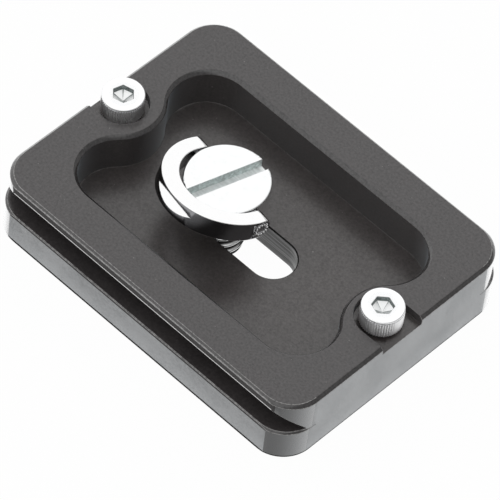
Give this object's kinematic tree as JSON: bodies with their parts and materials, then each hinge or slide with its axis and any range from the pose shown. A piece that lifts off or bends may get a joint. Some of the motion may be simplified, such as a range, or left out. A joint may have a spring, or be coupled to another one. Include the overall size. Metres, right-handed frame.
{
  "type": "tripod quick release plate",
  "caption": "Dovetail quick release plate lying on its rubber camera pad, with a sliding camera screw, a folding lifting ring and stop screws at its ends.",
  "frame": {"origin": "middle of the underside, where the rubber pad lies on the surface", "axes": "+X along the length of the plate and the clamp's dovetail, +Y across it, +Z from the camera face to the clamp face"},
  "size_m": [0.0506, 0.039, 0.0146],
  "materials": {
    "plate_anodised": "black anodised, satin, machined",
    "pad_rubber": "matt black, finely ribbed",
    "fastener_zinc": "bright zinc plated steel",
    "screw_plated": "bright plated steel",
    "ring_plated": "bright plated steel",
    "pin_steel": "plain steel, staked"
  },
  "bodies": {
    "plate": {"plate": "plate_anodised", "camera_pad": "pad_rubber", "stop_screw_left": "fastener_zinc", "stop_screw_right": "fastener_zinc"},
    "screw": {"camera_screw": "screw_plated"},
    "ring": {"lifting_ring": "ring_plated", "ring_pin_left": "pin_steel", "ring_pin_right": "pin_steel"}
  },
  "joints": [
    {"name": "screw_slide", "type": "slide", "parent": "plate", "child": "screw", "axis": [1, 0, 0], "range_m": [0, 0.0085]},
    {"name": "ring_hinge", "type": "hinge", "parent": "screw", "child": "ring", "pos_m": [-0.0045, 0, 0.0105], "axis": [-0.9796, 0.2011, 0], "range_deg": [-17.4, 162.6]}
  ]
}
